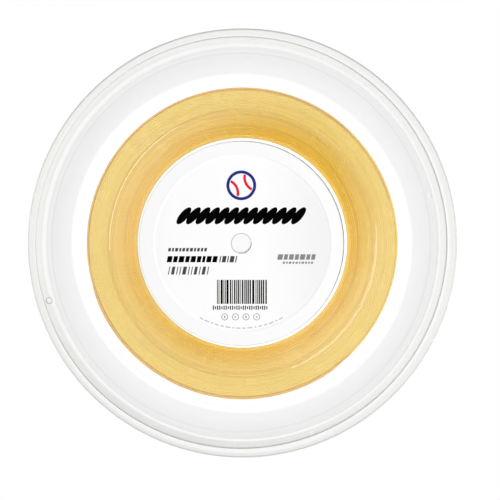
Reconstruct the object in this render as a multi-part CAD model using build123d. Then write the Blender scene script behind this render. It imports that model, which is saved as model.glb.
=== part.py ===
"""A reel of racket string: two clear moulded flanges pressed onto a white hub, 200 m of string wound
between them, and a round film label stuck on the front flange.

The reel lies flat on its rear flange. Its axis is +Z, its origin is the centre of the rear rim's
face, and all sizes are in millimetres. Outlines are drawn as (radius, height) and turned about Z.
"""

import os
from math import pi, radians, tan

from build123d import *

# Driving dimensions
REEL_DIAMETER = 270.0
HUB_LENGTH = 23.4
HUB_DIAMETER = 132.4
HUB_WALL = 1.9
SPINDLE_BORE = 12.5
STRING_DIAMETER = 1.35
STRING_LENGTH = 200_000.0
WINDING_DIAMETER = 196.4

# Flange: one moulding, used twice and turned over for the front
FLANGE_WALL = 1.6
EDGE_SLOPE = 24.0  # degrees: how steep the ridge, the step and the rim's foot are
RIDGE_RADIUS = 84.2
RIDGE_RISE = 0.4
FLARE_START = 107.6
FLARE_RISE = 1.0
STEP_RADIUS = 124.6
STEP_RISE = 0.4
RIM_FOOT_RADIUS = 130.2
RIM_RISE = 0.8
RIM_BEVEL = 0.7
STRING_HOLE_DIAMETER = 3.2
STRING_HOLE_RADIUS = 127.0
STRING_HOLE_ANGLES = (-23.6, 23.6, 180 - 46.7, 180 + 46.7)
FRONT_PATTERN_ANGLE = 63.3
REAR_PATTERN_ANGLE = 350.5

# Label, and the dish in the middle of the flange that the label follows
LABEL_DIAMETER = 128.0
LABEL_HOLE = 13.0
LABEL_THICKNESS = 0.2
DISH_RADIUS = 56.0
DISH_DEPTH = 0.5
DISH_SLOPE = 1.0

# Joint between a flange and the hub: a spigot that is pressed into the hub's wall
JOINT_CLEARANCE = 0.05
SPIGOT_WALL = 1.4
SPIGOT_HEIGHT = 2.8

# Hub
BOSS_WALL = 2.75
WEB_WALL = 1.5
WEB_DEPTH = 3.4
RIB_COUNT = 6
RIB_WALL = 1.6
RIB_SETBACK = 3.4
RIB_ROOT = 0.5
START_HOLE_DIAMETER = 3.0

# Winding: its faces lie halfway between the crowns of the turns and the valleys between them
WINDING_GAP = 0.4
WINDING_SHOULDER = 1.6

# Worked out from the above; heights are those of the rear flange
REEL_RADIUS = REEL_DIAMETER / 2
HUB_RADIUS = HUB_DIAMETER / 2
HUB_INNER = HUB_RADIUS - HUB_WALL
BORE_RADIUS = SPINDLE_BORE / 2
BOSS_RADIUS = BORE_RADIUS + BOSS_WALL
LAND_OUTER_Z = RIM_RISE
FLARE_OUTER_Z = LAND_OUTER_Z + STEP_RISE
WEB_OUTER_Z = FLARE_OUTER_Z + FLARE_RISE
WEB_INNER_Z = WEB_OUTER_Z + FLANGE_WALL
DISH_Z = WEB_OUTER_Z + DISH_DEPTH
REEL_WIDTH = 2 * WEB_INNER_Z + HUB_LENGTH
MIDDLE_Z = REEL_WIDTH / 2
HUB_TOP_Z = WEB_INNER_Z + HUB_LENGTH


def turned(outline):
    """The solid of revolution with this closed outline of (radius, height) corners."""
    return revolve(Plane.XZ * make_face(Polyline(outline, close=True)), Axis.Z, 360)


def tube(inner, outer, low, high):
    """A plain tube about the reel's axis."""
    return turned([(inner, low), (outer, low), (outer, high), (inner, high)])


def slope_width(rise):
    """How wide an edge of this rise is at the moulding's usual slope."""
    return rise / tan(radians(EDGE_SLOPE))


def flange_disc():
    """The flange's disc, outer face down: dish, ridge, flare, step, land and rim."""
    flare_end = STEP_RADIUS - slope_width(STEP_RISE)
    rim_top = RIM_FOOT_RADIUS + slope_width(RIM_RISE)
    ridge_foot = slope_width(RIDGE_RISE)
    land_inner_z = LAND_OUTER_Z + FLANGE_WALL
    outer_face = [
        (BORE_RADIUS, DISH_Z),
        (DISH_RADIUS - DISH_SLOPE, DISH_Z),
        (DISH_RADIUS, WEB_OUTER_Z),
        (RIDGE_RADIUS - ridge_foot, WEB_OUTER_Z),
        (RIDGE_RADIUS, WEB_OUTER_Z - RIDGE_RISE),
        (RIDGE_RADIUS + ridge_foot, WEB_OUTER_Z),
        (FLARE_START, WEB_OUTER_Z),
        (flare_end, FLARE_OUTER_Z),
        (STEP_RADIUS, LAND_OUTER_Z),
        (RIM_FOOT_RADIUS, LAND_OUTER_Z),
        (rim_top, 0),
    ]
    rim_edge = [
        (REEL_RADIUS - RIM_BEVEL, 0),
        (REEL_RADIUS, RIM_BEVEL),
        (REEL_RADIUS, land_inner_z),
    ]
    inner_face = [
        (STEP_RADIUS, land_inner_z),
        (FLARE_START, WEB_INNER_Z),
        (BORE_RADIUS, WEB_INNER_Z),
    ]
    return turned(outer_face + rim_edge + inner_face)


def flange_moulding():
    """A whole flange, outer face down, with its string holes symmetrical about +X."""
    spigot_outer = HUB_INNER - JOINT_CLEARANCE
    spigot_top = WEB_INNER_Z + SPIGOT_HEIGHT
    moulding = flange_disc()
    moulding += tube(spigot_outer - SPIGOT_WALL, spigot_outer, WEB_INNER_Z, spigot_top)
    string_hole = Pos(STRING_HOLE_RADIUS, 0, 0) * Cylinder(STRING_HOLE_DIAMETER / 2, REEL_WIDTH)
    for angle in STRING_HOLE_ANGLES:
        moulding -= Rot(0, 0, angle) * string_hole
    return moulding


def rear_flange():
    return Rot(0, 0, REAR_PATTERN_ANGLE) * flange_moulding()


def front_flange():
    turned_over = Pos(0, 0, REEL_WIDTH) * Rot(180, 0, 0) * flange_moulding()
    return Rot(0, 0, FRONT_PATTERN_ANGLE) * turned_over


def hub():
    """The white hub: a wall, a web near its front end, ribs behind the web and a bored boss."""
    web_top = HUB_TOP_Z - WEB_DEPTH
    web_bottom = web_top - WEB_WALL
    rib_bottom = WEB_INNER_Z + RIB_SETBACK
    rib_start = BOSS_RADIUS - RIB_ROOT
    rib_length = HUB_INNER + RIB_ROOT - rib_start
    rib_height = web_bottom + RIB_ROOT - rib_bottom
    rib = Pos(rib_start + rib_length / 2, 0, rib_bottom + rib_height / 2) * Box(
        rib_length, RIB_WALL, rib_height
    )
    body = tube(HUB_INNER, HUB_RADIUS, WEB_INNER_Z, HUB_TOP_Z)
    body += tube(BOSS_RADIUS - RIB_ROOT, HUB_INNER + RIB_ROOT, web_bottom, web_top)
    body += tube(BORE_RADIUS, BOSS_RADIUS, WEB_INNER_Z, HUB_TOP_Z)
    for number in range(RIB_COUNT):
        body += Rot(0, 0, (number + 0.5) * 360 / RIB_COUNT) * rib
    start_hole = Cylinder(START_HOLE_DIAMETER / 2, 4 * HUB_WALL)
    body -= Pos(HUB_RADIUS, 0, MIDDLE_Z) * Rot(0, 90, 0) * start_hole
    return body


def winding():
    """The wound string as one ring between the flanges, with its outer corners cut back."""
    low = WEB_INNER_Z + WINDING_GAP
    high = HUB_TOP_Z - WINDING_GAP
    inner = HUB_RADIUS + JOINT_CLEARANCE
    outer = WINDING_DIAMETER / 2
    shoulder = outer - WINDING_SHOULDER
    outside = [
        (shoulder, low),
        (outer, low + WINDING_SHOULDER),
        (outer, high - WINDING_SHOULDER),
        (shoulder, high),
    ]
    return turned([(inner, low)] + outside + [(inner, high)])


def label():
    """The film label, which follows the dish of the front flange."""
    web = REEL_WIDTH - WEB_OUTER_Z
    dish = REEL_WIDTH - DISH_Z
    hole = LABEL_HOLE / 2
    edge = LABEL_DIAMETER / 2
    dish_foot = DISH_RADIUS - DISH_SLOPE
    underside = [(hole, dish), (dish_foot, dish), (DISH_RADIUS, web), (edge, web)]
    top = [(radius, height + LABEL_THICKNESS) for radius, height in underside]
    return turned(underside + top[::-1])


def string_fill(pack):
    """The share of the winding's volume that the string itself takes."""
    return pi / 4 * STRING_DIAMETER**2 * STRING_LENGTH / pack.volume


pieces = {
    "front_flange": front_flange(),
    "rear_flange": rear_flange(),
    "hub": hub(),
    "string_winding": winding(),
    "front_label": label(),
}
os.makedirs("parts", exist_ok=True)
for name, piece in pieces.items():
    export_step(piece, f"parts/{name}.step")
print(f"reel width {REEL_WIDTH:.2f}, string fill {string_fill(pieces['string_winding']):.3f}")
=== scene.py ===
"""Dresses the string reel: clear moulded flanges, a white ribbed hub, wound golden string and a
printed label, on a pale studio floor. All sizes are in metres."""

import random
from math import cos, pi, radians, sin, tan

import bmesh
import bpy
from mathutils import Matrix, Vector, noise


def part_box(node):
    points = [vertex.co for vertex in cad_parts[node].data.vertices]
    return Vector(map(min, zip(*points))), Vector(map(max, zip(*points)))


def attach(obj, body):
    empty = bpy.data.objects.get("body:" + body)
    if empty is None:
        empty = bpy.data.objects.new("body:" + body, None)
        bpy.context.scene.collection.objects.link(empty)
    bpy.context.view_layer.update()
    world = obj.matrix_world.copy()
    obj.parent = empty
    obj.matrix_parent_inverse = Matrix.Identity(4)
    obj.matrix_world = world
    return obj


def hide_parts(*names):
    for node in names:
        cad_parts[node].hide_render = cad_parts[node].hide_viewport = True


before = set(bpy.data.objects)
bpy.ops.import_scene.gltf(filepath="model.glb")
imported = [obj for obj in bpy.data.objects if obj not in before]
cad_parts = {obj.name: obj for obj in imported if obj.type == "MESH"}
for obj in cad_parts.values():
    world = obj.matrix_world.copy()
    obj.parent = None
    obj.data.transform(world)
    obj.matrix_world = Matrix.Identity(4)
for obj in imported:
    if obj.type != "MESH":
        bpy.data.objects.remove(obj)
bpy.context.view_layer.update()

bl_info = {
    "name": "String Reel Dressing",
    "version": (1, 0, 0),
    "blender": (4, 5, 0),
    "location": "View3D > Sidebar > String Reel",
    "description": "Builds the clear flanges, hub, wound string and label of a racket string reel",
    "category": "Object",
}

MM = 0.001
GAP = 0.05 * MM
BODY = "root"
REEL_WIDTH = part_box("front_flange")[1].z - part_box("rear_flange")[0].z
REEL_RADIUS = 0.135
HUB_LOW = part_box("hub")[0].z
HUB_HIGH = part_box("hub")[1].z
STRING_LOW = HUB_LOW + 0.1 * MM
STRING_HIGH = HUB_HIGH - 0.1 * MM
STRING_MIDDLE = (STRING_LOW + STRING_HIGH) / 2
STRING_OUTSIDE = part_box("string_winding")[1].x + 0.2 * MM
STRING_HOLE_ANGLES = (-23.6, 23.6, 180 - 46.7, 180 + 46.7)
# The front flange's string hole that has a dark ring round it
RINGED_HOLE_ANGLE = STRING_HOLE_ANGLES[2]

# How finely shapes are made
ROUND_STEPS = 256
CORE_STEPS = 128
TURN_STEPS = 200
LAST_END_STEPS = 90
WELD = 0.001 * MM
INK_WELD = 0.0005 * MM
SMOOTH_ANGLE = 30

# How the turns of string lie
TURN_OVERLAP = 1.02
TURN_DRIFT = 0.35
DIVE_SHARE = 0.02
CORE_INSET = 0.4 * MM


# ---------------------------------------------------------------- sizes and colours


def length_property(name, description, default):
    """A length that a user can change, in metres."""
    return bpy.props.FloatProperty(
        name=name, description=description, default=default, unit="LENGTH"
    )


def colour_property(name, description, default):
    """A colour that a user can change."""
    return bpy.props.FloatVectorProperty(
        name=name, description=description, default=default, size=3, subtype="COLOR", min=0, max=1
    )


class ReelFlangeSizes(bpy.types.PropertyGroup):
    """The flange's outline, measured from the reel's axis and from the rim's outer face."""

    bore: length_property("Spindle hole", "Radius of the hole for the spindle", 6.25 * MM)
    wall: length_property("Wall", "Thickness of the moulding", 1.6 * MM)
    dish_radius: length_property("Dish", "Radius of the dish under the label", 56 * MM)
    dish_depth: length_property("Dish depth", "How far the dish is sunk", 0.5 * MM)
    dish_slope: length_property("Dish slope", "Width of the dish's sloping edge", 1 * MM)
    ridge_radius: length_property("Ridge", "Radius of the thin raised ring", 84.2 * MM)
    ridge_width: length_property("Ridge width", "Width of the thin raised ring", 1.8 * MM)
    ridge_rise: length_property("Ridge height", "Height of the thin raised ring", 0.4 * MM)
    flare_start: length_property("Flare start", "Radius where the flat web ends", 107.6 * MM)
    flare_rise: length_property("Flare rise", "How far the sloping band rises", 1 * MM)
    step_radius: length_property(
        "Step", "Radius of the step at the end of the sloping band", 124.6 * MM
    )
    step_rise: length_property("Step height", "Height of the step", 0.4 * MM)
    rim_foot: length_property("Rim foot", "Radius where the rim starts", 130.4 * MM)
    rim_rise: length_property("Rim height", "How far the rim stands proud", 0.8 * MM)
    slope: bpy.props.FloatProperty(
        name="Edge slope", description="How steep the ridge, the step and the rim's foot are",
        default=radians(24), subtype="ANGLE",
    )
    string_hole: length_property(
        "String hole", "Radius of the holes that hold the string's end", 1.6 * MM
    )
    string_hole_place: length_property(
        "String hole place", "Distance of the string holes from the axis", 127 * MM
    )
    front_turn: bpy.props.FloatProperty(
        name="Front turn", description="Angle of the front flange's holes", default=radians(63.3),
        subtype="ANGLE",
    )
    rear_turn: bpy.props.FloatProperty(
        name="Rear turn", description="Angle of the rear flange's holes", default=radians(350.5),
        subtype="ANGLE",
    )
    spigot_radius: length_property(
        "Spigot", "Outer radius of the ring pressed into the hub", 64.25 * MM
    )
    spigot_wall: length_property("Spigot wall", "Thickness of that ring", 1.4 * MM)
    spigot_height: length_property("Spigot height", "Height of that ring", 2.8 * MM)
    tint: colour_property("Clear plastic", "Colour of the clear plastic", (0.995, 0.995, 0.995))


class ReelHubSizes(bpy.types.PropertyGroup):
    """The white hub's finish."""

    edge_round: length_property("Edge round", "Radius of the moulding's edges", 0.25 * MM)
    colour: colour_property("White plastic", "Colour of the hub", (0.93, 0.93, 0.92))


class ReelStringSizes(bpy.types.PropertyGroup):
    """The string, and how its turns lie on the hub."""

    thickness: length_property("String thickness", "Diameter of the string", 1.35 * MM)
    first_turn: length_property("First turn", "Radius of the innermost turn's middle line", 66.9 * MM)
    last_turn: length_property(
        "Last turn", "Radius of the outermost side turn's middle line", 97.7 * MM
    )
    layers: bpy.props.IntProperty(
        name="Layers", description="Turns that show on each side of the winding", default=26, min=2
    )
    seed: bpy.props.IntProperty(
        name="Seed", description="Number that fixes how the turns wander", default=7
    )
    # Painted shade: the deeper amber near the hub stands for the dimmer light on the inner turns
    inner_shaded_colour: colour_property(
        "Inner string", "Colour of the string near the hub", (0.548, 0.303, 0.003)
    )
    outer_colour: colour_property(
        "Outer string", "Colour of the string near the outside", (0.51, 0.366, 0.05)
    )


class ReelLabelSizes(bpy.types.PropertyGroup):
    """The label and its printed marks."""

    hole: length_property("Label hole", "Radius of the hole in the label", 6.2 * MM)
    radius: length_property("Label radius", "Radius of the label", 64.4 * MM)
    slip: bpy.props.FloatVectorProperty(
        name="Slip", description="How far off the axis the label was stuck", size=2,
        subtype="TRANSLATION", unit="LENGTH", default=(-0.7 * MM, -0.35 * MM),
    )
    print_rise: length_property(
        "Print rise", "How far above the label's middle the print sits", 1.1 * MM
    )
    thickness: length_property("Label thickness", "Thickness of the label", 0.2 * MM)
    ink_height: length_property("Ink height", "How far the ink stands above the label", 0.02 * MM)
    paper: colour_property("Paper", "Colour of the label", (0.9, 0.9, 0.9))
    navy: colour_property("Navy ink", "Colour of the ball's outline", (0.02, 0.03, 0.2))
    red: colour_property("Red ink", "Colour of the ball's seams", (0.75, 0.01, 0.04))


class ReelStageSizes(bpy.types.PropertyGroup):
    """The floor, the lamps and the camera, which looks straight down."""

    camera_height: length_property(
        "Camera height", "Height of the camera above the reel's front face", 0.69
    )
    camera_x: length_property("Camera X", "Camera's place across the reel", -0.0203)
    camera_y: length_property("Camera Y", "Camera's place up the reel", 0.0083)
    shift_x: bpy.props.FloatProperty(
        name="Shift X", description="Sideways shift of the picture's frame", default=0.0796,
        subtype="FACTOR",
    )
    shift_y: bpy.props.FloatProperty(
        name="Shift Y", description="Upward shift of the picture's frame", default=-0.0404,
        subtype="FACTOR",
    )
    focal_length: bpy.props.FloatProperty(
        name="Focal length", description="Camera's focal length in millimetres", default=79.03
    )


# Painted shade: darker bands on the clear flanges' sloping flare and land; the rim band is painted
# shade with the plastic's own faint yellow-green cast
FLARE_PAINTED_SHADE = (0.95, 0.95, 0.95, 1.0)
LAND_PAINTED_SHADE = (0.95, 0.95, 0.948, 1.0)
RIM_PAINTED_SHADE = (0.85, 0.853, 0.83, 1.0)
# Painted shade: the thin dark line round the flanges' outer edge; it also darkens a ring at one string
# hole
PAINTED_DARK_EDGE = (0.3, 0.3, 0.29, 1.0)
# Painted shade: the thin dark lines at the label's hole and round its outer edge
PAINTED_EDGE_LINE = (0.16, 0.16, 0.16, 1.0)
HUB_LIT_STRING = (0.76, 0.6, 0.2, 1.0)
WHITE = (1.0, 1.0, 1.0, 1.0)

# The dome's brightness at each angle from overhead, in degrees
DOME_LEVELS = (
    (0.0, 1.45), (9.8, 1.45), (11.5, 0.95), (20.0, 0.95), (42.0, 1.35), (62.0, 1.35), (90.0, 0.6),
)
EVEN_LIGHT = 0.42
FLOOR_GLOW = 0.94

# Each lamp's name, place, size and power; all of them aim at the reel's middle
LAMP_AIM = (0, 0, 0.02)
LAMPS = (
    ("upper_left_lamp", (-0.62, 0.36, 0.95), (1.0, 0.25), 2.5),
    ("lower_right_lamp", (0.75, -0.44, 0.83), (1.4, 0.5), 9.5),
    ("upper_right_lamp", (0.3, 0.71, 0.92), (1.0, 1.0), 2.5),
)

SETTINGS = {
    "reel_flange": ReelFlangeSizes,
    "reel_hub": ReelHubSizes,
    "reel_string": ReelStringSizes,
    "reel_label": ReelLabelSizes,
    "reel_stage": ReelStageSizes,
}


# ---------------------------------------------------------------- modelling


def deselect():
    """Leaves object mode with nothing selected."""
    if bpy.context.object is not None and bpy.context.object.mode != "OBJECT":
        bpy.ops.object.mode_set(mode="OBJECT")
    bpy.ops.object.select_all(action="DESELECT")


def make_active(piece):
    """Selects the piece alone."""
    deselect()
    piece.select_set(True)
    bpy.context.view_layer.objects.active = piece


def drawn_outline(name, outline):
    """A closed outline of (radius, height) points, drawn from one point by extruding it along."""
    deselect()
    bpy.ops.mesh.primitive_plane_add(size=1 * MM)
    piece = bpy.context.object
    piece.name = name
    piece.data.name = name
    bpy.ops.object.mode_set(mode="EDIT")
    bpy.ops.mesh.select_all(action="SELECT")
    bpy.ops.mesh.merge(type="CENTER")
    bpy.ops.transform.translate(value=(outline[0][0], 0, outline[0][1]))
    last_radius, last_height = outline[0]
    for radius, height in outline[1:]:
        move = (radius - last_radius, 0, height - last_height)
        bpy.ops.mesh.extrude_vertices_move(TRANSFORM_OT_translate={"value": move})
        last_radius, last_height = radius, height
    bpy.ops.mesh.select_all(action="SELECT")
    bpy.ops.mesh.edge_face_add()
    bpy.ops.mesh.delete(type="ONLY_FACE")
    return piece


def turned(name, outline, steps):
    """The closed outline turned about the reel's axis."""
    piece = drawn_outline(name, outline)
    bpy.ops.mesh.select_all(action="SELECT")
    bpy.ops.mesh.spin(steps=steps, angle=2 * pi, center=(0, 0, 0), axis=(0, 0, 1))
    bpy.ops.mesh.select_all(action="SELECT")
    bpy.ops.mesh.remove_doubles(threshold=WELD)
    bpy.ops.mesh.normals_make_consistent(inside=False)
    bpy.ops.object.mode_set(mode="OBJECT")
    return piece


def rounded(corners, facets=4, hold=0.1 * MM):
    """The outline with its corners rounded: each corner is (radius, height, rounding).

    A point is held a little before and after each rounding, so that flat faces shade flat.
    """
    outline = []
    count = len(corners)
    for index, (radius, height, rounding) in enumerate(corners):
        corner = Vector((radius, height))
        if rounding == 0:
            outline.append((radius, height))
            continue
        before = (Vector(corners[index - 1][:2]) - corner).normalized()
        after = (Vector(corners[(index + 1) % count][:2]) - corner).normalized()
        half = before.angle(after) / 2
        centre = corner + (before + after).normalized() * (rounding / sin(half))
        start = corner + before * (rounding / tan(half)) - centre
        end = corner + after * (rounding / tan(half)) - centre
        sweep = start.angle_signed(end)
        outline.append(tuple(centre + start + before * hold))
        for facet in range(facets + 1):
            turn = -sweep * facet / facets
            x = start.x * cos(turn) - start.y * sin(turn)
            y = start.x * sin(turn) + start.y * cos(turn)
            outline.append((centre.x + x, centre.y + y))
        outline.append(tuple(centre + end + after * hold))
    return outline


def apply_modifiers(piece):
    """Puts the piece's modifiers into its mesh."""
    make_active(piece)
    for modifier in list(piece.modifiers):
        bpy.ops.object.modifier_apply(modifier=modifier.name)


def smooth(piece, angle=SMOOTH_ANGLE):
    """Shades the piece smooth, but for edges sharper than the angle in degrees."""
    make_active(piece)
    bpy.ops.object.shade_smooth_by_angle(angle=radians(angle))


def settle(piece):
    """Puts the piece's place, turn and size into its mesh."""
    make_active(piece)
    bpy.ops.object.transform_apply(location=True, rotation=True, scale=True)


def finish_piece(piece, material, slot, *nodes):
    """Gives a piece its material and its body, and lets it stand for its CAD nodes."""
    piece.data.materials.clear()
    piece.data.materials.append(material)
    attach(piece, BODY)
    if nodes:
        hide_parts(*nodes)


# ---------------------------------------------------------------- materials


def new_material(name):
    """An empty node material and its output node."""
    material = bpy.data.materials.new(name)
    material.use_nodes = True
    material.node_tree.nodes.clear()
    return material, material.node_tree.nodes.new("ShaderNodeOutputMaterial")


def feed(tree, sockets, values):
    """Gives each input socket its plain value, or links another node's output socket to it."""
    for socket, value in zip(sockets, values):
        if isinstance(value, bpy.types.NodeSocket):
            tree.links.new(value, socket)
        else:
            socket.default_value = value


def add_node(tree, kind, **inputs):
    """A node with the named inputs set or linked."""
    made = tree.nodes.new(kind)
    feed(tree, [made.inputs[key.replace("_", " ")] for key in inputs], inputs.values())
    return made


def maths(tree, operation, first, second=0.0):
    """The result of one calculation on two numbers."""
    made = tree.nodes.new("ShaderNodeMath")
    made.operation = operation
    feed(tree, made.inputs, (first, second))
    return made.outputs[0]


def vector_maths(tree, operation, *values):
    """The outputs, Vector and Value, of one calculation on vectors."""
    made = tree.nodes.new("ShaderNodeVectorMath")
    made.operation = operation
    feed(tree, made.inputs, values)
    return made.outputs


def spread(tree, value, low, high, start=0.0, end=1.0):
    """Maps value from low..high to start..end."""
    made = add_node(tree, "ShaderNodeMapRange", Value=value)
    for name, number in (("From Min", low), ("From Max", high), ("To Min", start), ("To Max", end)):
        made.inputs[name].default_value = number
    return made.outputs[0]


def mixed(tree, share, first, second):
    """Two colours mixed by share."""
    made = tree.nodes.new("ShaderNodeMix")
    made.data_type = "RGBA"
    feed(tree, (made.inputs[0], made.inputs[6], made.inputs[7]), (share, first, second))
    return made.outputs[2]


def layered(tree, share, first, second):
    """Two shaders mixed by share."""
    made = tree.nodes.new("ShaderNodeMixShader")
    feed(tree, made.inputs, (share, first.outputs[0], second.outputs[0]))
    return made


def noise_value(tree, vector, scale, detail):
    """Smooth noise from 0 to 1."""
    made = add_node(tree, "ShaderNodeTexNoise", Vector=vector, Scale=scale, Detail=detail)
    return made.outputs["Fac"]


def object_place(tree):
    """The point's place in the piece's own coordinates."""
    return tree.nodes.new("ShaderNodeTexCoord").outputs["Object"]


def axis_distance(tree, place):
    """The distance from the reel's axis, in metres."""
    parts = add_node(tree, "ShaderNodeSeparateXYZ", Vector=place)
    across = maths(tree, "MULTIPLY", parts.outputs["X"], parts.outputs["X"])
    along = maths(tree, "MULTIPLY", parts.outputs["Y"], parts.outputs["Y"])
    return maths(tree, "SQRT", maths(tree, "ADD", across, along))


def radial_place(tree, place, around, outward):
    """A vector that changes with the angle round the axis and slowly with the distance from it."""
    flat = vector_maths(tree, "MULTIPLY", place, (1, 1, 0))[0]
    direction = vector_maths(tree, "NORMALIZE", flat)[0]
    rise = maths(tree, "MULTIPLY", axis_distance(tree, place), outward)
    lift = add_node(tree, "ShaderNodeCombineXYZ", Z=rise).outputs[0]
    return vector_maths(tree, "MULTIPLY_ADD", direction, (around, around, 0), lift)[0]


def opaque(colour):
    """The colour with full alpha."""
    return (*colour, 1.0)


def clear_plastic(sizes):
    """Polished clear polystyrene with a faint haze, rougher round the edge; painted shade darkens the
    flare, land and rim bands and a thin line round the edge, and one string hole has a dark ring.
    """
    turn = sizes.front_turn + radians(RINGED_HOLE_ANGLE)
    hole_place = sizes.string_hole_place
    ringed_hole = (hole_place * cos(turn), hole_place * sin(turn), REEL_WIDTH - sizes.rim_rise)
    material, output = new_material("clear_plastic")
    tree = material.node_tree
    place = object_place(tree)
    radius = axis_distance(tree, place)
    flow = noise_value(tree, place, 18.0, 1.0)
    sinks = add_node(tree, "ShaderNodeBump", Height=flow, Strength=0.05, Distance=2 * MM)
    rays = noise_value(tree, radial_place(tree, place, 38.0, 8.0), 1.0, 3.0)
    ripple = add_node(
        tree, "ShaderNodeBump", Height=rays, Strength=1.0, Distance=0.009 * MM,
        Normal=sinks.outputs["Normal"],
    )
    haze = noise_value(tree, place, 90.0, 3.0)
    edge_noise = noise_value(tree, place, 400.0, 4.0)
    frosted = spread(tree, radius, 130 * MM, 131.5 * MM)
    # Painted shade: the edge line is stronger towards the top and bottom of the front flange and
    # towards one side of the rear flange
    axes = add_node(tree, "ShaderNodeSeparateXYZ", Vector=place)
    side_shade_share = spread(tree, axes.outputs["Y"], 30 * MM, 110 * MM, 0.25, 0.9)
    low_shade_share = spread(tree, axes.outputs["Y"], -120 * MM, -60 * MM, 0.35, 0.0)
    front_shade_share = maths(tree, "ADD", side_shade_share, low_shade_share)
    on_front = spread(tree, axes.outputs["Z"], 0.4 * REEL_WIDTH, 0.6 * REEL_WIDTH)
    leaning = maths(tree, "MULTIPLY", axes.outputs["Y"], 0.36)
    across = maths(tree, "SUBTRACT", axes.outputs["X"], leaning)
    rear_shade_share = spread(tree, across, -130 * MM, 130 * MM, 0.12, 0.6)
    change = maths(tree, "MULTIPLY", on_front, maths(tree, "SUBTRACT", front_shade_share, rear_shade_share))
    edge_shade_share = maths(tree, "ADD", rear_shade_share, change)
    # A painted dark line round the rim's outer edge, which is also rougher there
    edge = maths(tree, "MULTIPLY", spread(tree, radius, 133.9 * MM, 134.4 * MM),
                 spread(tree, edge_noise, 0.3, 0.7, 0.75, 1.0))
    edge = maths(tree, "MULTIPLY", edge, edge_shade_share)
    roughness = maths(tree, "ADD", spread(tree, haze, 0.3, 0.7, 0.02, 0.05),
                      maths(tree, "MULTIPLY", frosted, 0.06))
    roughness = maths(tree, "ADD", roughness, maths(tree, "MULTIPLY", edge, 0.4))
    body = add_node(
        tree, "ShaderNodeBsdfPrincipled", Normal=ripple.outputs["Normal"], Roughness=roughness,
        IOR=1.57,
    )
    # Painted shade darkens the flare, land and rim bands
    band_shade = mixed(tree, spread(tree, radius, 111 * MM, 123 * MM), opaque(sizes.tint), FLARE_PAINTED_SHADE)
    band_shade = mixed(tree, spread(tree, radius, 123 * MM, 125 * MM), band_shade, LAND_PAINTED_SHADE)
    rim = mixed(tree, frosted, band_shade, RIM_PAINTED_SHADE)
    # A dark ring round that string hole
    away = vector_maths(tree, "DISTANCE", place, ringed_hole)["Value"]
    hole_ring = spread(tree, away, 2.0 * MM, 2.2 * MM, 1.0, 0.0)
    streaks_and_dark_edges = maths(tree, "MAXIMUM", edge, hole_ring)
    tree.links.new(mixed(tree, streaks_and_dark_edges, rim, PAINTED_DARK_EDGE), body.inputs["Base Color"])
    body.inputs["Transmission Weight"].default_value = 1.0
    passed = add_node(tree, "ShaderNodeBsdfTransparent", Color=(0.99, 0.99, 0.985, 1))
    path = tree.nodes.new("ShaderNodeLightPath")
    surface = layered(tree, path.outputs["Is Shadow Ray"], body, passed)
    tree.links.new(surface.outputs[0], output.inputs["Surface"])
    return material


def white_plastic(colour):
    """Semi-matt white polystyrene with faint flow marks and a fine grain."""
    material, output = new_material("white_plastic")
    tree = material.node_tree
    place = object_place(tree)
    flow = noise_value(tree, place, 40.0, 3.0)
    grain = noise_value(tree, place, 1800.0, 2.0)
    darker = opaque([0.94 * part for part in colour])
    bump = add_node(tree, "ShaderNodeBump", Height=grain, Strength=0.15, Distance=0.05 * MM)
    body = add_node(
        tree, "ShaderNodeBsdfPrincipled", Normal=bump.outputs["Normal"],
        Roughness=spread(tree, flow, 0.3, 0.7, 0.38, 0.5),
    )
    tree.links.new(mixed(tree, spread(tree, flow, 0.35, 0.65), opaque(colour), darker),
                   body.inputs["Base Color"])
    tree.links.new(body.outputs[0], output.inputs["Surface"])
    return material


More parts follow.
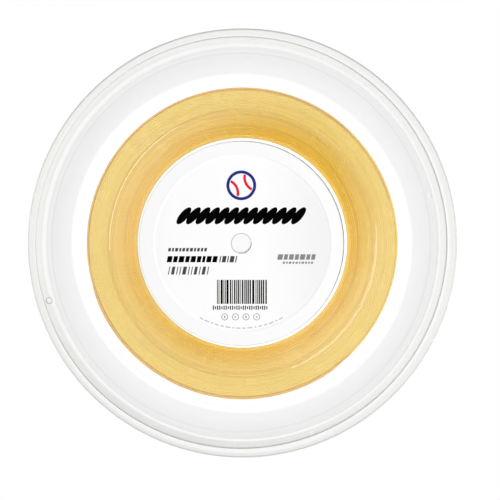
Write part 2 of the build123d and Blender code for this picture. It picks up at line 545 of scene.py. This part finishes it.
def golden_string(sizes):
    """Glossy translucent string, each turn its own tint; painted shade makes it deep amber near the
    hub, between turns and on the last turns, and painted light paler beside the hub's wall.
    """
    material, output = new_material("golden_string")
    tree = material.node_tree
    place = object_place(tree)
    radius = axis_distance(tree, place)
    outward = spread(tree, radius, sizes.first_turn + 1 * MM, sizes.last_turn - 14 * MM)
    tint = add_node(tree, "ShaderNodeAttribute")
    tint.attribute_name = "turn_tint"
    streak = noise_value(tree, place, 55.0, 3.0)
    # Painted shade: deep amber near the hub, fading to the pale gold outside
    gold = mixed(tree, outward, opaque(sizes.inner_shaded_colour), opaque(sizes.outer_colour))
    near_hub = spread(tree, radius, sizes.first_turn + 0.6 * MM, sizes.first_turn + 2 * MM, 0.4, 0.0)
    gold = mixed(tree, near_hub, gold, HUB_LIT_STRING)
    streaks_and_dark_edges = mixed(tree, spread(tree, streak, 0.35, 0.7, 0.0, 0.15), gold, opaque(sizes.outer_colour))
    # Deep amber, for random turn tints and for painted shade
    deep = opaque([0.8 * part ** 1.1 for part in sizes.inner_shaded_colour])
    varied = mixed(tree, spread(tree, tint.outputs["Fac"], 0.0, 1.2, 0.0, 0.8), streaks_and_dark_edges, deep)
    # Painted shade: the side turns darken towards deep amber where they lie deeper in the pack, between
    # their neighbours
    height = add_node(tree, "ShaderNodeSeparateXYZ", Vector=place).outputs["Z"]
    aside = maths(tree, "ABSOLUTE", maths(tree, "SUBTRACT", height, STRING_MIDDLE))
    depth = maths(tree, "SUBTRACT", STRING_HIGH - STRING_MIDDLE, aside)
    on_side = spread(tree, radius, sizes.last_turn + 0.2 * MM, sizes.last_turn + 0.6 * MM, 1.0, 0.0)
    painted_valley_shade = maths(tree, "MULTIPLY", on_side, spread(tree, depth, 0.1 * MM, 0.7 * MM, 0.0, 0.35))
    varied = mixed(tree, painted_valley_shade, varied, deep)
    fibre = noise_value(tree, place, 700.0, 2.0)
    bump = add_node(tree, "ShaderNodeBump", Height=fibre, Strength=0.1, Distance=0.1 * MM)
    body = add_node(
        tree, "ShaderNodeBsdfPrincipled", Normal=bump.outputs["Normal"],
        Roughness=spread(tree, streak, 0.3, 0.7, 0.18, 0.32),
    )
    tree.links.new(varied, body.inputs["Base Color"])
    body.inputs["Subsurface Weight"].default_value = 0.5
    body.inputs["Subsurface Scale"].default_value = 0.8 * MM
    body.inputs["Subsurface Radius"].default_value = (1.0, 0.6, 0.2)
    body.inputs["Coat Weight"].default_value = 0.05
    body.inputs["Coat Roughness"].default_value = 0.2
    tree.links.new(body.outputs[0], output.inputs["Surface"])
    return material


def label_film(sizes):
    """White printed film with a soft gloss and a faint fibre; painted shade darkens its dish, more
    towards the right, and thin painted dark lines mark its hole and edge.
    """
    material, output = new_material("label_film")
    tree = material.node_tree
    place = object_place(tree)
    mottle = noise_value(tree, place, 60.0, 3.0)
    fibre = noise_value(tree, place, 2500.0, 2.0)
    bump = add_node(tree, "ShaderNodeBump", Height=fibre, Strength=0.06, Distance=0.02 * MM)
    body = add_node(
        tree, "ShaderNodeBsdfPrincipled", Normal=bump.outputs["Normal"],
        Roughness=spread(tree, mottle, 0.3, 0.7, 0.3, 0.38),
    )
    shade = opaque([0.985 * part for part in sizes.paper])
    paper = mixed(tree, mottle, opaque(sizes.paper), shade)
    # Painted shade: the dish under the print is darker, more so towards its right side and a little
    # towards its left
    axes = add_node(tree, "ShaderNodeSeparateXYZ", Vector=place)
    in_dish = spread(tree, axis_distance(tree, place), 54.5 * MM, 55.5 * MM, 1.0, 0.0)
    right = spread(tree, axes.outputs["X"], 12 * MM, 52 * MM, 0.0, 0.95)
    left = spread(tree, axes.outputs["X"], -54 * MM, -44 * MM, 0.3, 0.0)
    side_shade_share = maths(tree, "MULTIPLY", in_dish, maths(tree, "MAXIMUM", right, left))
    paper = mixed(tree, in_dish, opaque([0.965 * part for part in sizes.paper]), paper)
    paper = mixed(tree, side_shade_share, paper, opaque([0.88 * part for part in sizes.paper]))
    # Painted shade: a dark ring at the label's hole stands in for the shaded bore, and a fainter dark
    # line runs round the outer edge
    own_place = vector_maths(tree, "SUBTRACT", place, (*sizes.slip, 0))[0]
    from_middle = axis_distance(tree, own_place)
    hole_edge = spread(tree, from_middle, sizes.hole + 0.2 * MM, sizes.hole + 0.35 * MM, 1.0, 0.0)
    outer_edge = spread(tree, from_middle, sizes.radius - 0.3 * MM, sizes.radius - 0.2 * MM, 0.0, 0.4)
    cut = maths(tree, "MAXIMUM", hole_edge, outer_edge)
    tree.links.new(mixed(tree, cut, paper, PAINTED_EDGE_LINE), body.inputs["Base Color"])
    body.inputs["Coat Weight"].default_value = 0.15
    body.inputs["Coat Roughness"].default_value = 0.25
    passed = add_node(tree, "ShaderNodeBsdfTransparent", Color=(0.6, 0.6, 0.6, 1))
    path = tree.nodes.new("ShaderNodeLightPath")
    surface = layered(tree, path.outputs["Is Shadow Ray"], body, passed)
    tree.links.new(surface.outputs[0], output.inputs["Surface"])
    return material


def ink(name, colour):
    """Printing ink, slightly uneven."""
    material, output = new_material(name)
    tree = material.node_tree
    speck = noise_value(tree, object_place(tree), 1500.0, 3.0)
    lighter = opaque([min(1.0, part * 1.1 + 0.001) for part in colour])
    dull = spread(tree, speck, 0.3, 0.7, 0.6, 0.75)
    body = add_node(tree, "ShaderNodeBsdfPrincipled", Roughness=dull)
    body.inputs["Specular IOR Level"].default_value = 0.0
    tree.links.new(mixed(tree, speck, opaque(colour), lighter), body.inputs["Base Color"])
    tree.links.new(body.outputs[0], output.inputs["Surface"])
    return material


# ---------------------------------------------------------------- flanges and hub


def flange_corners(sizes, front):
    """The flange's corners as (radius, height, rounding), outer face down, round from the bore."""
    step_z = sizes.rim_rise + sizes.step_rise
    web_z = step_z + sizes.flare_rise
    inner_z = web_z + sizes.wall - GAP
    land_z = sizes.rim_rise + sizes.wall
    dish_z = web_z + sizes.dish_depth
    edge = 0.2 * MM
    step_width = sizes.step_rise / tan(sizes.slope)
    foot_width = sizes.rim_rise / tan(sizes.slope)
    spigot_z = inner_z + sizes.spigot_height
    inner_step = [(sizes.step_radius - step_width, step_z + sizes.wall, edge)] if front else []
    return [
        (sizes.bore, dish_z, edge),
        (sizes.dish_radius - sizes.dish_slope, dish_z, edge),
        (sizes.dish_radius, web_z, edge),
        (sizes.ridge_radius - sizes.ridge_width / 2, web_z, edge),
        (sizes.ridge_radius, web_z - sizes.ridge_rise, 2 * edge),
        (sizes.ridge_radius + sizes.ridge_width / 2, web_z, edge),
        (sizes.flare_start, web_z, 100 * MM),
        (sizes.step_radius - step_width, step_z, edge),
        (sizes.step_radius, sizes.rim_rise, edge),
        (sizes.rim_foot, sizes.rim_rise, edge),
        (sizes.rim_foot + foot_width, 0.0, 2 * edge),
        (REEL_RADIUS, 0.0, 0.7 * MM),
        (REEL_RADIUS, land_z, 0.3 * MM),
        (sizes.step_radius, land_z, edge),
        *inner_step,
        (sizes.flare_start, inner_z, 100 * MM),
        (sizes.spigot_radius, inner_z, edge),
        (sizes.spigot_radius, spigot_z, edge),
        (sizes.spigot_radius - sizes.spigot_wall, spigot_z, edge),
        (sizes.spigot_radius - sizes.spigot_wall, inner_z, edge),
        (sizes.bore, inner_z, edge),
    ]


def hole_cutter(sizes):
    """Rods at the places of the four string holes."""
    deselect()
    rods = []
    for angle in STRING_HOLE_ANGLES:
        turn = radians(angle)
        middle = (sizes.string_hole_place * cos(turn), sizes.string_hole_place * sin(turn), 0)
        bpy.ops.mesh.primitive_cylinder_add(
            vertices=48, radius=sizes.string_hole, depth=20 * MM, location=middle
        )
        rods.append(bpy.context.object)
    for rod in rods:
        rod.select_set(True)
    bpy.ops.object.join()
    cutter = bpy.context.object
    settle(cutter)
    return cutter


def pierce(piece, cutter):
    """Cuts the cutter's shape out of the piece."""
    cut = piece.modifiers.new("string_holes", "BOOLEAN")
    cut.operation = "DIFFERENCE"
    cut.solver = "EXACT"
    cut.object = cutter
    apply_modifiers(piece)
    bpy.data.objects.remove(cutter)


def flange(name, sizes, front):
    """A whole flange in its place: pierced, turned over if it is the front one, and turned round."""
    piece = turned(name, rounded(flange_corners(sizes, front)), ROUND_STEPS)
    pierce(piece, hole_cutter(sizes))
    if front:
        piece.rotation_euler = (pi, 0, 0)
        piece.location.z = REEL_WIDTH
        settle(piece)
    piece.rotation_euler.z = sizes.front_turn if front else sizes.rear_turn
    settle(piece)
    smooth(piece)
    return piece


class REEL_OT_flanges(bpy.types.Operator):
    """Turns and pierces the two clear flanges."""

    bl_idname = "reel.flanges"
    bl_label = "Clear flanges"

    def execute(self, context):
        sizes = context.scene.reel_flange
        plastic = clear_plastic(sizes)
        for node, front in (("front_flange", True), ("rear_flange", False)):
            piece = flange(f"{node}_clear", sizes, front)
            finish_piece(piece, plastic, "clear_plastic", node)
        return {"FINISHED"}


class REEL_OT_hub(bpy.types.Operator):
    """Rounds the edges of the hub and gives it its white plastic."""

    bl_idname = "reel.hub"
    bl_label = "White hub"

    def execute(self, context):
        sizes = context.scene.reel_hub
        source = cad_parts["hub"]
        make_active(source)
        bpy.ops.object.duplicate()
        piece = bpy.context.object
        piece.name = "hub_white"
        piece.parent = None
        bpy.ops.object.mode_set(mode="EDIT")
        bpy.ops.mesh.select_all(action="SELECT")
        bpy.ops.mesh.remove_doubles(threshold=WELD)
        bpy.ops.object.mode_set(mode="OBJECT")
        edges = piece.modifiers.new("edges", "BEVEL")
        edges.width = sizes.edge_round
        edges.segments = 2
        edges.limit_method = "ANGLE"
        edges.angle_limit = radians(40)
        apply_modifiers(piece)
        smooth(piece)
        finish_piece(piece, white_plastic(sizes.colour), "white_plastic", "hub")
        return {"FINISHED"}


# ---------------------------------------------------------------- string


def wander(seed, turn, angle, scale):
    """A smooth value from -1 to 1 that goes once round with the angle."""
    return noise.noise(Vector((scale * cos(angle) + 13.7 * seed, scale * sin(angle), 3.1 * turn)))


def string_tube(name, paths, thickness):
    """Strings of the given middle lines, with a tint number for each of them."""
    curve = bpy.data.curves.new(name, "CURVE")
    curve.dimensions = "3D"
    curve.bevel_depth = thickness / 2
    curve.bevel_resolution = 1
    curve.use_fill_caps = True
    for path in paths:
        line = curve.splines.new("POLY")
        line.points.add(len(path) - 1)
        for point, place in zip(line.points, path):
            point.co = (*place, 1.0)
    piece = bpy.data.objects.new(name, curve)
    bpy.context.collection.objects.link(piece)
    make_active(piece)
    bpy.ops.object.convert(target="MESH")
    piece = bpy.context.object
    smooth(piece, 80)
    return piece


def tint_turns(piece, paths, rng, deep=0):
    """Writes one random tint for all the vertices of each turn; the last few can get the darkest tint
    as painted shade.
    """
    tint = piece.data.attributes.new("turn_tint", "FLOAT", "POINT")
    sides = len(piece.data.vertices) // sum(len(path) for path in paths)
    index = 0
    for number, path in enumerate(paths):
        value = rng.random() ** 2 if number < len(paths) - deep else 1.2
        for _ in range(len(path) * sides):
            tint.data[index].value = value
            index += 1


def side_turns(sizes, front, rng):
    """The turns that show through one flange: each lies against it and dives into the pack."""
    paths = []
    pitch = (sizes.last_turn - sizes.first_turn) / (sizes.layers - 1)
    for layer in range(sizes.layers):
        middle = sizes.first_turn + pitch * layer
        deeper = rng.uniform(0, 0.14) * MM
        start = rng.uniform(0, 2 * pi)
        path = []
        freedom = min(1.0, 0.3 * layer, 0.3 * (sizes.layers - 1 - layer))
        for step in range(TURN_STEPS + 1):
            share = step / TURN_STEPS
            angle = start + share * 2 * pi * TURN_OVERLAP
            dive = max(0.0, 1 - share / DIVE_SHARE) ** 2
            dive += max(0.0, 1 - (1 - share) / DIVE_SHARE) ** 2
            radius = middle + 0.28 * freedom * MM * wander(sizes.seed, layer, angle, 1.3)
            radius += pitch * freedom * (share - 0.5) * TURN_DRIFT
            depth = deeper + 0.8 * sizes.thickness * dive
            depth += 0.08 * MM * (1 + wander(sizes.seed + 5, layer, angle, 2.2))
            reach = sizes.thickness / 2 + depth
            height = STRING_HIGH - reach if front else STRING_LOW + reach
            path.append((radius * cos(angle), radius * sin(angle), height))
        paths.append(path)
    return paths


def outer_turns(sizes):
    """The last layer: a close helix round the winding, crowned in the middle, and its end."""
    low = STRING_LOW + 1.6 * MM
    high = STRING_HIGH - 1.6 * MM
    turns = round((high - low) / (1.01 * sizes.thickness))
    crown = STRING_OUTSIDE - sizes.thickness / 2
    paths = []
    for turn in range(turns + 1):
        path = []
        for step in range(TURN_STEPS + 1):
            angle = 2 * pi * step / TURN_STEPS
            share = (turn + step / TURN_STEPS) / (turns + 1)
            height = low + (high - low) * share
            bulge = 0.5 * MM * (2 * share - 1) ** 2
            radius = crown - bulge - 0.12 * MM * (1 + wander(sizes.seed + 9, turn, angle, 1.7))
            path.append((radius * cos(angle), radius * sin(angle), height))
        paths.append(path)
    return paths + [last_end(sizes, crown, turn) for turn in range(3)]


def last_end(sizes, crown, turn):
    """One of the strings that ride on the last layer for part of the way round, near the front."""
    path = []
    start, end = radians(188 + 9 * turn), radians(318 - 12 * turn)
    for step in range(LAST_END_STEPS + 1):
        share = step / LAST_END_STEPS
        climb = min(1.0, share / 0.12, (1 - share) / 0.12)
        rise = climb * climb * (3 - 2 * climb)
        angle = start + (end - start) * share
        radius = crown + (0.95 * rise - 0.5) * sizes.thickness
        height = STRING_HIGH - (0.75 + 1.02 * turn) * sizes.thickness
        path.append((radius * cos(angle), radius * sin(angle), height))
    return path


def winding_core(sizes):
    """The pack of string under the turns that show, so that no gap between them is empty."""
    low = STRING_LOW + CORE_INSET
    high = STRING_HIGH - CORE_INSET
    inner = sizes.first_turn - sizes.thickness / 2
    outer = STRING_OUTSIDE - 1.4 * MM
    corners = [
        (inner, low, 0), (outer, low, 0.6 * MM), (outer, high, 0.6 * MM), (inner, high, 0),
    ]
    piece = turned("string_core", rounded(corners), CORE_STEPS)
    smooth(piece)
    return piece


class REEL_OT_string(bpy.types.Operator):
    """Winds the string: both sides of the winding, its last layer and the pack beneath."""

    bl_idname = "reel.string"
    bl_label = "Wound string"

    def execute(self, context):
        sizes = context.scene.reel_string
        rng = random.Random(sizes.seed)
        gold = golden_string(sizes)
        groups = {
            "string_front_turns": side_turns(sizes, True, rng),
            "string_rear_turns": side_turns(sizes, False, rng),
            "string_outer_turns": outer_turns(sizes),
        }
        for name, paths in groups.items():
            piece = string_tube(name, paths, sizes.thickness)
            # Painted shade: the last three outer strings and the outermost side turn get the darkest
            # tint
            tint_turns(piece, paths, rng, 3 if name == "string_outer_turns" else 1)
            finish_piece(piece, gold, "string", "string_winding")
        finish_piece(winding_core(sizes), gold, "string", "string_winding")
        return {"FINISHED"}


# ---------------------------------------------------------------- label


class REEL_OT_label(bpy.types.Operator):
    """Turns the label, which follows the dish in the front flange."""

    bl_idname = "reel.label"
    bl_label = "Label"

    def execute(self, context):
        sizes = context.scene.reel_label
        flange_sizes = context.scene.reel_flange
        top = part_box("front_label")[1].z
        low = top - sizes.thickness + 0.02 * MM
        sunk = flange_sizes.dish_depth
        foot = flange_sizes.dish_radius - flange_sizes.dish_slope
        corners = [
            (sizes.hole, low - sunk, 0),
            (foot, low - sunk, 0.5 * MM),
            (flange_sizes.dish_radius, low, 0.5 * MM),
            (sizes.radius, low, 0),
            (sizes.radius, top, 0.03 * MM),
            (flange_sizes.dish_radius, top, 0.5 * MM),
            (foot, top - sunk, 0.5 * MM),
            (sizes.hole, top - sunk, 0.03 * MM),
        ]
        piece = turned("label_film", rounded(corners, hold=0.02 * MM), ROUND_STEPS)
        for vertex in piece.data.vertices:
            if not foot - 1 * MM < vertex.co.xy.length < flange_sizes.dish_radius + 1 * MM:
                vertex.co.x += sizes.slip[0]
                vertex.co.y += sizes.slip[1]
        smooth(piece, 40)
        finish_piece(piece, label_film(sizes), "label", "front_label")
        return {"FINISHED"}


def ink_level():
    """The height on which the ink lies: the label's sunk middle."""
    settings = bpy.context.scene
    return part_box("front_label")[1].z - settings.reel_flange.dish_depth


def ink_bar(x, y, width, height, rounding=0.0):
    """One bar of ink, its corners rounded."""
    sizes = bpy.context.scene.reel_label
    thick = sizes.ink_height
    deselect()
    place = (x * MM, y * MM, ink_level() + thick / 2)
    bpy.ops.mesh.primitive_cube_add(size=1, location=place, scale=(width * MM, height * MM, thick))
    bar = bpy.context.object
    settle(bar)
    if rounding:
        bpy.ops.object.mode_set(mode="EDIT")
        mesh = bmesh.from_edit_mesh(bar.data)
        for edge in mesh.edges:
            edge.select_set(abs((edge.verts[0].co - edge.verts[1].co).z) > thick / 2)
        bmesh.update_edit_mesh(bar.data)
        bpy.ops.mesh.bevel(offset=rounding * MM, segments=4)
        bpy.ops.object.mode_set(mode="OBJECT")
    return bar


def ink_row(x, y, height, widths, gap, lean=0.2):
    """A row of slanting blocks of ink, as wide as the list says."""
    blocks = []
    for width in widths:
        block = ink_bar(x + width / 2, y, width, height)
        for vertex in block.data.vertices:
            vertex.co.x += lean * (vertex.co.y - y * MM)
        blocks.append(block)
        x += width + gap
    return blocks


def ink_arc(centre, inner, outer, start, end, steps):
    """A curved stroke of ink about a centre, from one angle to another."""
    sizes = bpy.context.scene.reel_label
    low = ink_level()
    high = low + sizes.ink_height
    corners = [(inner * MM, low), (outer * MM, low), (outer * MM, high), (inner * MM, high)]
    stroke = drawn_outline("ink_arc", corners)
    bpy.ops.mesh.select_all(action="SELECT")
    bpy.ops.mesh.spin(steps=steps, angle=radians(start - end), center=(0, 0, 0), axis=(0, 0, 1))
    bpy.ops.mesh.select_all(action="SELECT")
    bpy.ops.mesh.remove_doubles(threshold=INK_WELD)
    bpy.ops.mesh.fill_holes(sides=4)
    bpy.ops.mesh.select_all(action="SELECT")
    bpy.ops.mesh.normals_make_consistent(inside=False)
    bpy.ops.object.mode_set(mode="OBJECT")
    stroke.rotation_euler.z = radians(start)
    stroke.location = (centre[0] * MM, centre[1] * MM, 0)
    settle(stroke)
    return stroke


def ink_lozenge(x, y, length, width, angle):
    """One slanting rounded lozenge of ink."""
    sizes = bpy.context.scene.reel_label
    deselect()
    place = (x * MM, y * MM, ink_level() + sizes.ink_height / 2)
    bpy.ops.mesh.primitive_cylinder_add(
        vertices=40, radius=0.5, depth=sizes.ink_height, location=place,
        scale=(length * MM, width * MM, 1), rotation=(0, 0, radians(angle)),
    )
    lozenge = bpy.context.object
    settle(lozenge)
    return lozenge


def joined(name, pieces):
    """Makes one piece of several."""
    make_active(pieces[0])
    for piece in pieces:
        piece.select_set(True)
    bpy.ops.object.join()
    whole = bpy.context.object
    whole.name = name
    whole.data.name = name
    return whole


BALL = (0.0, 35.6)
BALL_RADIUS = 9.4


def ball_outline():
    """A ball's outline."""
    return [ink_arc(BALL, BALL_RADIUS - 1.9, BALL_RADIUS, 0, 360, 72)]


def ball_seams():
    """Two seams that curve across the ball, tilted."""
    seams = []
    for turn in (25, 205):
        reach = 1.25 * BALL_RADIUS
        centre = (BALL[0] + reach * cos(radians(turn)), BALL[1] + reach * sin(radians(turn)))
        middle = turn + 180
        seams.append(ink_arc(centre, 0.82 * BALL_RADIUS, BALL_RADIUS, middle - 37, middle + 37, 24))
    return seams


def twisted_band():
    """A band of slanting lozenges, like a twisted string."""
    return [ink_lozenge(-36.2 + 6.03 * step, 16.4, 13.4, 5.1, 50) for step in range(13)]


def bold_row():
    """The bold row of blocks on the left."""
    return ink_row(-46.7, -11.0, 3.9, (3.1, 2.6, 3.4, 2.6, 3.1, 2.6, 1.8, 3.1, 2.9), 0.8)


def fine_rows():
    """The thinner rows of blocks on the left, above, beside and below the bold one."""
    marks = ink_row(-46.0, -5.0, 2.2, (1.6, 1.2, 1.9, 1.2, 1.6, 1.6, 1.9, 1.2, 1.6, 1.4, 1.6), 0.75)
    marks += ink_row(-13.6, -11.0, 4.0, (0.7, 2.4, 0.7, 2.6, 0.7), 0.9)
    marks += ink_row(-45.8, -18.2, 5.0, (0.6, 1.9, 0.6, 0.6, 2.2, 0.6, 0.6, 1.8, 0.6, 2.0, 0.6), 1.3)
    return marks


def side_rows():
    """Two paler rows of blocks on the right."""
    marks = ink_row(23.0, -9.6, 3.4, (3.2, 2.4, 2.9, 2.4, 3.2, 2.4, 2.4), 0.8)
    marks += ink_row(26.2, -13.2, 1.3, (1.4, 1.0, 1.6, 1.2, 1.4, 1.0, 1.6, 1.2, 1.0, 1.4), 0.7)
    return marks


def counting_bars(rng):
    """Upright bars of uneven width, with a row of short ticks under them."""
    bars = []
    x = -15.3
    while x < 16.8:
        width = rng.choice((0.55, 0.55, 0.9, 1.35))
        bars.append(ink_bar(x + width / 2, -31.6, width, 15.2))
        x += width + rng.choice((0.42, 0.42, 0.75))
    for step in range(26):
        bars.append(ink_bar(-17.6 + 1.35 * step, -41.6, 0.72, (2.6, 1.7)[step % 3 == 1]))
    return bars


def small_rings():
    """Four small plain rings, each with its own dot or bar."""
    marks = []
    for step in range(4):
        x = -10.4 + 6.7 * step
        marks.append(ink_arc((x, -47.4), 1.75, 2.15, 0, 360, 28))
        marks.append(ink_bar(x, -47.4, 0.7 + 0.5 * (step % 2), 1.6 - 0.9 * (step % 2), 0.2))
    return marks


def rim_dashes():
    """Short dashes round the label's lower edge."""
    dashes = []
    angle = 241.5
    for step in range(16):
        length = (2.2, 3.4, 1.4, 2.8)[step % 4]
        dashes.append(ink_arc((0, 0), 54.2, 54.8, angle, angle + length, 6))
        angle += length + 1.2
    return dashes


class REEL_OT_print(bpy.types.Operator):
    """Prints the label's plain marks."""

    bl_idname = "reel.print"
    bl_label = "Label print"

    def execute(self, context):
        sizes = context.scene.reel_label
        rng = random.Random(4)
        black = ink("black_ink", (0.001, 0.001, 0.0012))
        grey = ink("grey_ink", (0.22, 0.22, 0.23))
        groups = (
            ("ball_outline", ball_outline(), ink("navy_ink", sizes.navy)),
            ("ball_seams", ball_seams(), ink("red_ink", sizes.red)),
            ("twisted_band", twisted_band(), black),
            ("bold_row", bold_row(), black),
            ("fine_rows", fine_rows(), ink("dark_grey_ink", (0.06, 0.06, 0.065))),
            ("side_rows", side_rows(), grey),
            ("counting_bars", counting_bars(rng), black),
            ("small_rings", small_rings(), grey),
            ("rim_dashes", rim_dashes(), ink("pale_grey_ink", (0.4, 0.4, 0.41))),
        )
        for name, marks, colour in groups:
            piece = joined(f"print_{name}", marks)
            piece.location = (sizes.slip[0], sizes.slip[1] + sizes.print_rise, 0)
            settle(piece)
            finish_piece(piece, colour, "label")
        return {"FINISHED"}


# ---------------------------------------------------------------- stage


def lamp(name, place, size, power):
    """A soft rectangular lamp."""
    light = bpy.data.lights.new(name, "AREA")
    light.shape = "RECTANGLE"
    light.size, light.size_y = size
    light.energy = power
    holder = bpy.data.objects.new(name, light)
    holder.location = place
    holder.rotation_euler = (Vector(LAMP_AIM) - Vector(place)).to_track_quat("-Z", "Y").to_euler()
    holder.visible_transmission = False
    bpy.context.collection.objects.link(holder)


def floor_material():
    """Pale matt floor that shows white and keeps a faint shadow."""
    material, output = new_material("studio_floor")
    tree = material.node_tree
    speck = noise_value(tree, object_place(tree), 3.0, 2.0)
    pale = mixed(tree, speck, (0.95, 0.95, 0.95, 1), (0.97, 0.97, 0.97, 1))
    body = add_node(tree, "ShaderNodeBsdfDiffuse", Color=pale)
    glow = add_node(tree, "ShaderNodeEmission", Color=WHITE, Strength=1.0)
    path = tree.nodes.new("ShaderNodeLightPath")
    seen = maths(tree, "MAXIMUM", path.outputs["Is Camera Ray"], path.outputs["Is Glossy Ray"])
    seen = maths(tree, "MAXIMUM", seen, path.outputs["Is Transmission Ray"])
    surface = layered(tree, maths(tree, "MULTIPLY", seen, FLOOR_GLOW), body, glow)
    tree.links.new(surface.outputs[0], output.inputs["Surface"])
    return material


def angle_from(tree, direction, middle):
    """The angle between a direction and a middle line."""
    unit = vector_maths(tree, "NORMALIZE", direction)[0]
    along = vector_maths(tree, "DOT_PRODUCT", unit, middle.normalized())["Value"]
    return maths(tree, "ARCCOSINE", maths(tree, "MINIMUM", along, 1.0))


def studio_world():
    """White to the camera; a soft dome with a bright ring overhead to everything else."""
    world = bpy.data.worlds.new("studio")
    bpy.context.scene.world = world
    world.use_nodes = True
    tree = world.node_tree
    tree.nodes.clear()
    output = tree.nodes.new("ShaderNodeOutputWorld")
    direction = tree.nodes.new("ShaderNodeTexCoord").outputs["Generated"]
    overhead = angle_from(tree, direction, Vector((0.029, -0.012, 1.0)))
    oval = add_node(
        tree, "ShaderNodeMapping", Vector=direction, Location=(0.037, -0.005, 0),
        Rotation=(0, 0, radians(150)), Scale=(0.9, 1.08, 1),
    )
    oval.vector_type = "TEXTURE"
    opening = spread(tree, angle_from(tree, oval.outputs[0], Vector((0, 0, 1))),
                     radians(5.2), radians(7.0), 0.08, 1.0)
    ramp = tree.nodes.new("ShaderNodeValToRGB")
    while len(ramp.color_ramp.elements) < len(DOME_LEVELS):
        ramp.color_ramp.elements.new(0.5)
    for element, (degrees, level) in zip(ramp.color_ramp.elements, DOME_LEVELS):
        element.position = degrees / 90
        element.color = (level / 2, level / 2, level / 2, 1)
    tree.links.new(spread(tree, overhead, 0.0, pi / 2), ramp.inputs[0])
    foot = vector_maths(tree, "DOT_PRODUCT", direction, (-0.3, -0.95, 0))["Value"]
    below = spread(tree, foot, 0.08, 0.18, 0.0, 0.75)
    band = maths(tree, "MULTIPLY", spread(tree, overhead, radians(9.6), radians(10.4)),
                 spread(tree, overhead, radians(12.5), radians(15), 1.0, 0.0))
    dimmer = maths(tree, "SUBTRACT", 1.0, maths(tree, "MULTIPLY", below, band))
    strength = maths(tree, "MULTIPLY", maths(tree, "MULTIPLY", opening, dimmer), 2.0)
    path = tree.nodes.new("ShaderNodeLightPath")
    dome = add_node(tree, "ShaderNodeBackground", Color=ramp.outputs[0], Strength=strength)
    even = add_node(tree, "ShaderNodeBackground", Color=WHITE, Strength=EVEN_LIGHT)
    white = add_node(tree, "ShaderNodeBackground", Color=WHITE, Strength=1.0)
    lit = layered(tree, path.outputs["Is Diffuse Ray"], dome, even)
    shown = layered(tree, path.outputs["Is Camera Ray"], lit, white)
    tree.links.new(shown.outputs[0], output.inputs["Surface"])


class REEL_OT_stage(bpy.types.Operator):
    """Lays the floor and sets the lamps, the world and the camera."""

    bl_idname = "reel.stage"
    bl_label = "Studio"

    def execute(self, context):
        sizes = context.scene.reel_stage
        deselect()
        bpy.ops.mesh.primitive_grid_add(x_subdivisions=8, y_subdivisions=8, size=8.0)
        floor = bpy.context.object
        floor.name = "studio_floor"
        floor.data.materials.append(floor_material())
        studio_world()
        for name, place, size, power in LAMPS:
            lamp(name, place, size, power)
        camera = bpy.data.cameras.new("studio_camera")
        camera.lens = sizes.focal_length
        camera.sensor_width = 36.0
        camera.shift_x = sizes.shift_x
        camera.shift_y = sizes.shift_y
        holder = bpy.data.objects.new("studio_camera", camera)
        holder.location = (sizes.camera_x, sizes.camera_y, REEL_WIDTH + sizes.camera_height)
        bpy.context.collection.objects.link(holder)
        context.scene.camera = holder
        context.scene.view_settings.view_transform = "Standard"
        return {"FINISHED"}


# ---------------------------------------------------------------- panel and start


OPERATORS = (
    REEL_OT_stage, REEL_OT_flanges, REEL_OT_hub, REEL_OT_string, REEL_OT_label, REEL_OT_print,
)


class REEL_PT_panel(bpy.types.Panel):
    """Lists the reel's pieces and their sizes."""

    bl_idname = "REEL_PT_panel"
    bl_label = "String Reel"
    bl_space_type = "VIEW_3D"
    bl_region_type = "UI"
    bl_category = "String Reel"

    def draw(self, context):
        for operator in OPERATORS:
            self.layout.operator(operator.bl_idname)
        for name, group in SETTINGS.items():
            box = self.layout.box()
            box.label(text=name.replace("_", " ").capitalize())
            for size in group.__annotations__:
                box.prop(getattr(context.scene, name), size)


CLASSES = (*SETTINGS.values(), *OPERATORS, REEL_PT_panel)


def register():
    """Registers the classes and hangs the sizes on the scene."""
    for each in CLASSES:
        bpy.utils.register_class(each)
    for name, group in SETTINGS.items():
        setattr(bpy.types.Scene, name, bpy.props.PointerProperty(type=group))


def unregister():
    """Takes the sizes and classes away again."""
    for name in SETTINGS:
        delattr(bpy.types.Scene, name)
    for each in reversed(CLASSES):
        bpy.utils.unregister_class(each)


def main():
    """Builds everything."""
    register()
    bpy.ops.reel.stage()
    bpy.ops.reel.flanges()
    bpy.ops.reel.hub()
    bpy.ops.reel.string()
    bpy.ops.reel.label()
    bpy.ops.reel.print()


if __name__ == "__main__":
    main()
